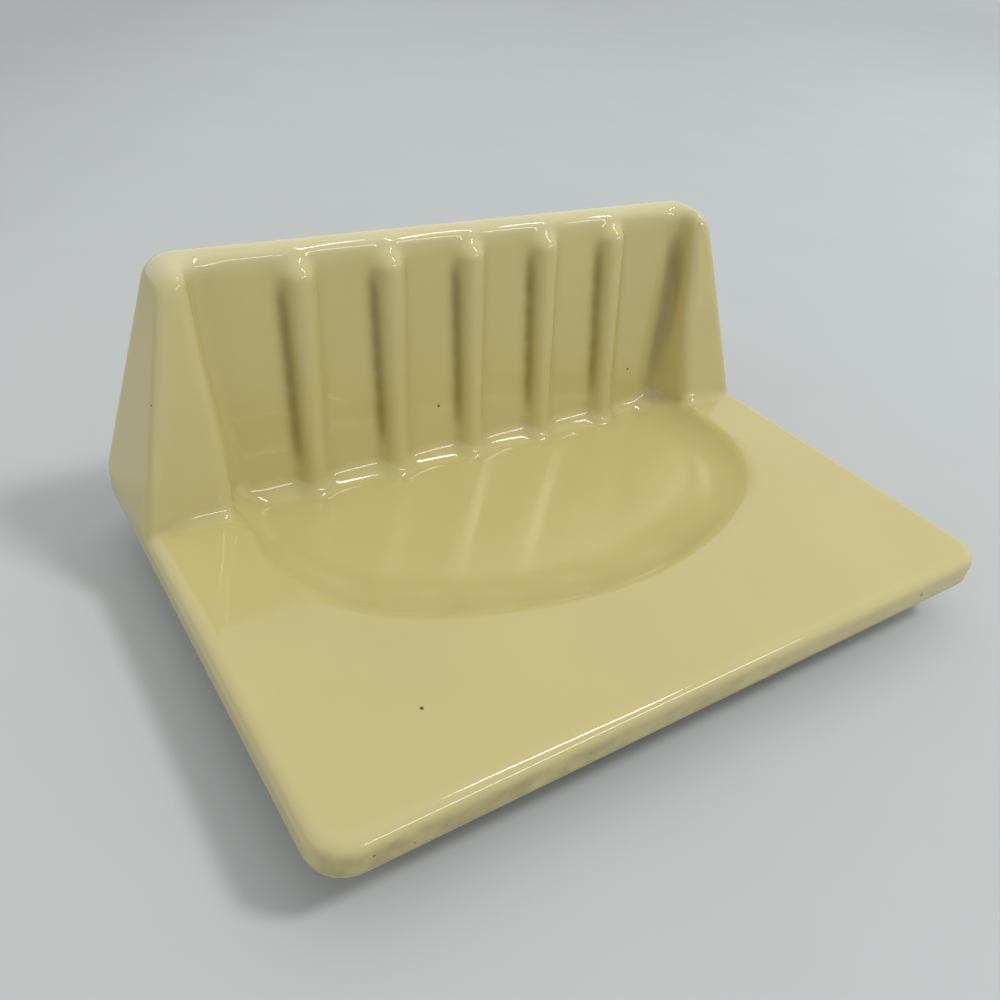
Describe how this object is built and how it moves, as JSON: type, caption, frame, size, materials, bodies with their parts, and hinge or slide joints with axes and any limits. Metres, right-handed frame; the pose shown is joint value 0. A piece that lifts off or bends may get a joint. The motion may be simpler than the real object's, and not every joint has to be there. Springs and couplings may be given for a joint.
{
  "type": "soap dish",
  "caption": "Glazed ceramic tile-in wall soap dish: a round-edged plate with an arched recess, and a lipped tray with drain ribs between two end walls.",
  "frame": {"origin": "centre of the plate's outline, on the plane of the setting ring's back", "axes": "+X along the plate's width, +Y towards the tray (down when the dish is on the wall), +Z out of the wall. The dish lies on its back, as in the picture"},
  "size_m": [0.1524, 0.108, 0.0625],
  "materials": {
    "glaze": "glossy butter-yellow glaze",
    "bare_clay": "unglazed, matt"
  },
  "bodies": {
    "root": {"wall_plate": "glaze", "recess_bowl": "glaze", "setting_ring": "bare_clay", "tray_wall": "glaze", "left_end_wall": "glaze", "right_end_wall": "glaze", "drain_rib_1": "glaze", "drain_rib_2": "glaze", "drain_rib_3": "glaze", "drain_rib_4": "glaze", "drain_rib_5": "glaze"}
  },
  "joints": []
}
